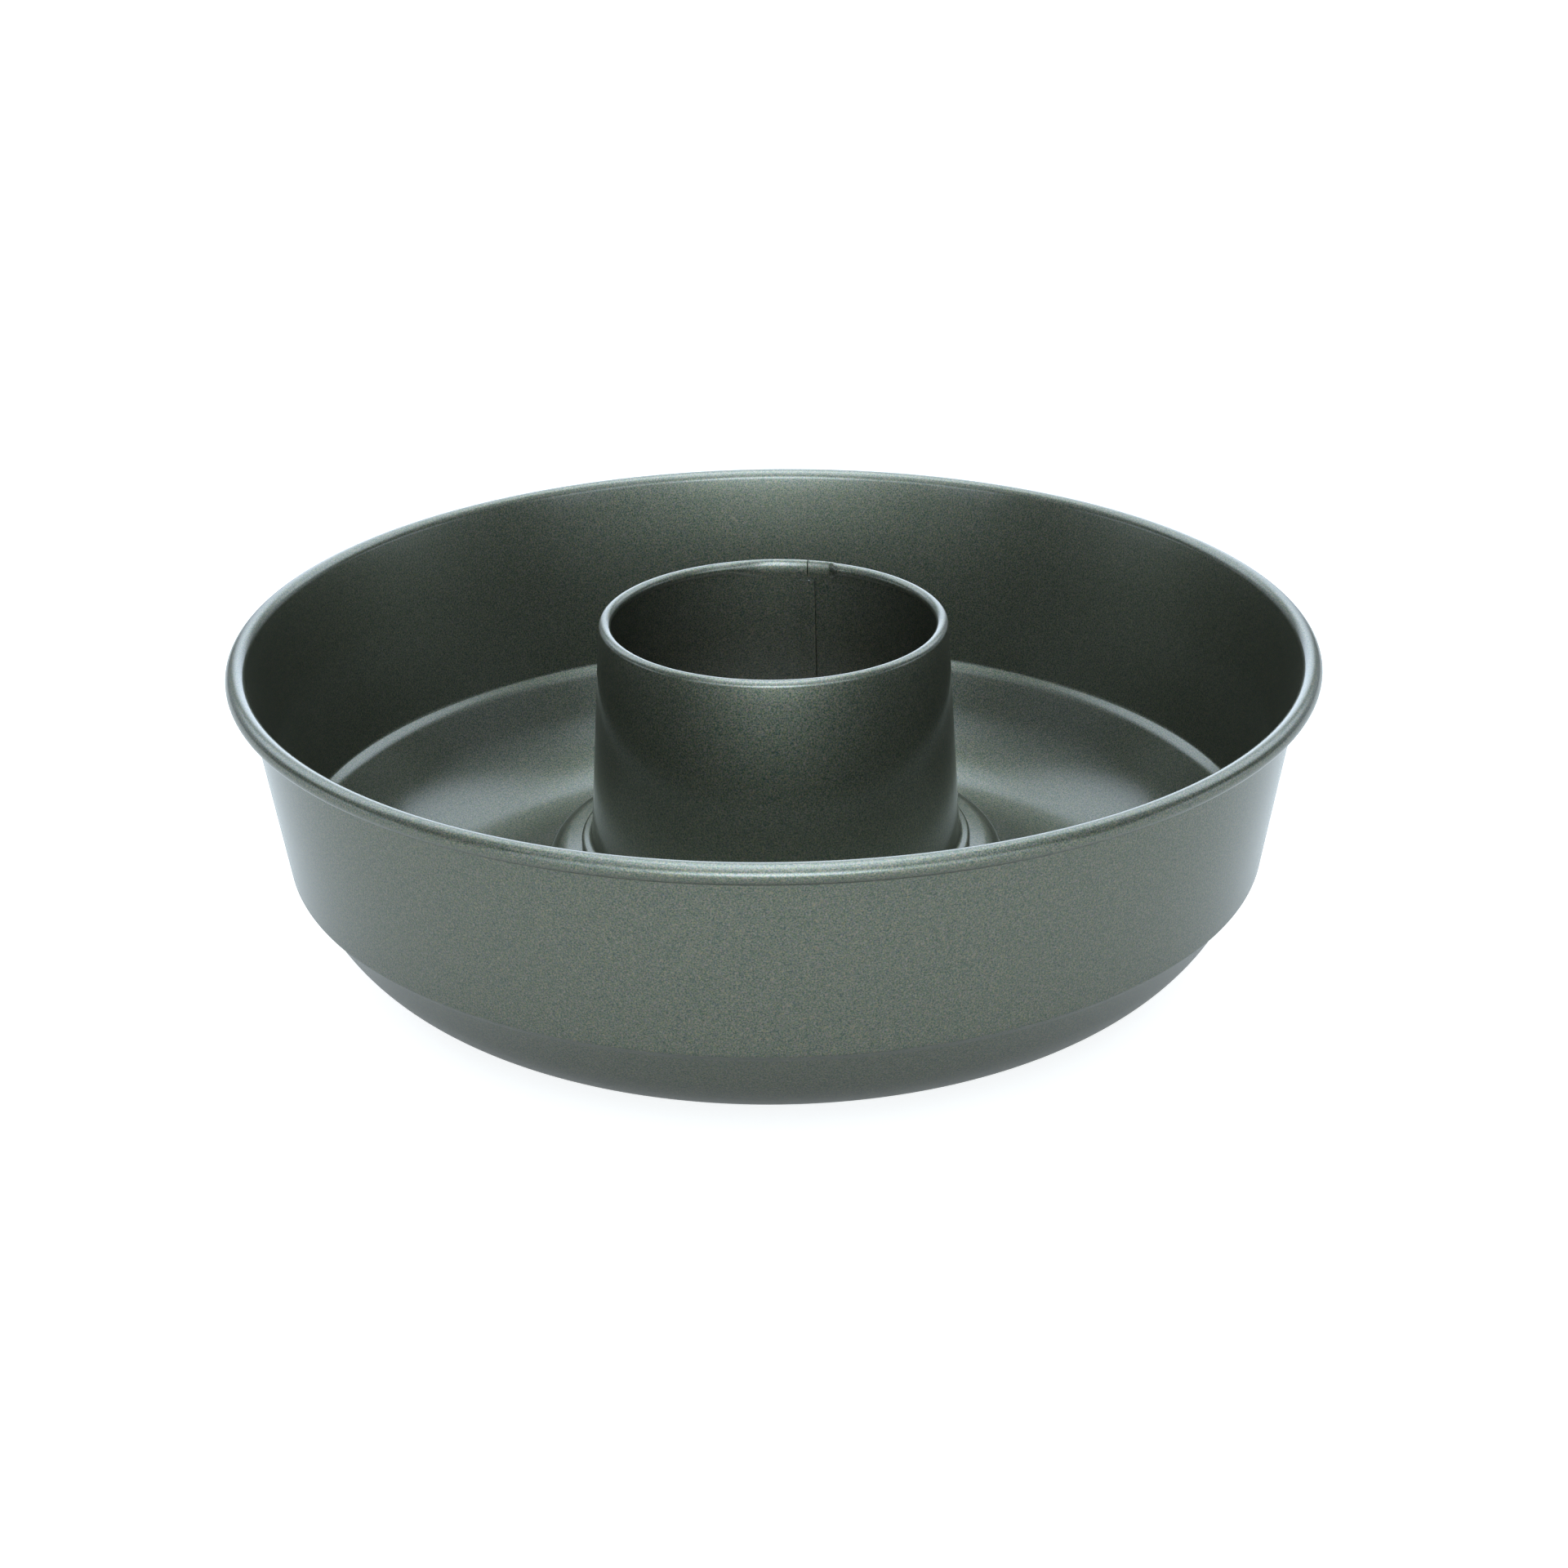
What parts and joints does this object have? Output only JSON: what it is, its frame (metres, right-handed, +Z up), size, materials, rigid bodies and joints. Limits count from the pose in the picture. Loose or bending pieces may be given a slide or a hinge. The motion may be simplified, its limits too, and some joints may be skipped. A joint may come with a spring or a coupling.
{
  "type": "ring cake pan",
  "caption": "Round ring cake pan of coated sheet steel with a rolled rim, tapered wall, small ledge, deep rounded trough and an open tapered centre tube clinched into its floor.",
  "frame": {"origin": "on the pan's axis, in the plane of the level ring that it rests on", "axes": "+Z up along the axis, towards the rim; the tube's lock seam is near +Y, at the back of the picture; -Y faces the camera"},
  "size_m": [0.272, 0.272, 0.086],
  "materials": {
    "nonstick_coating": "satin"
  },
  "bodies": {
    "root": {"pan_shell": "nonstick_coating", "centre_tube": "nonstick_coating"}
  },
  "joints": []
}
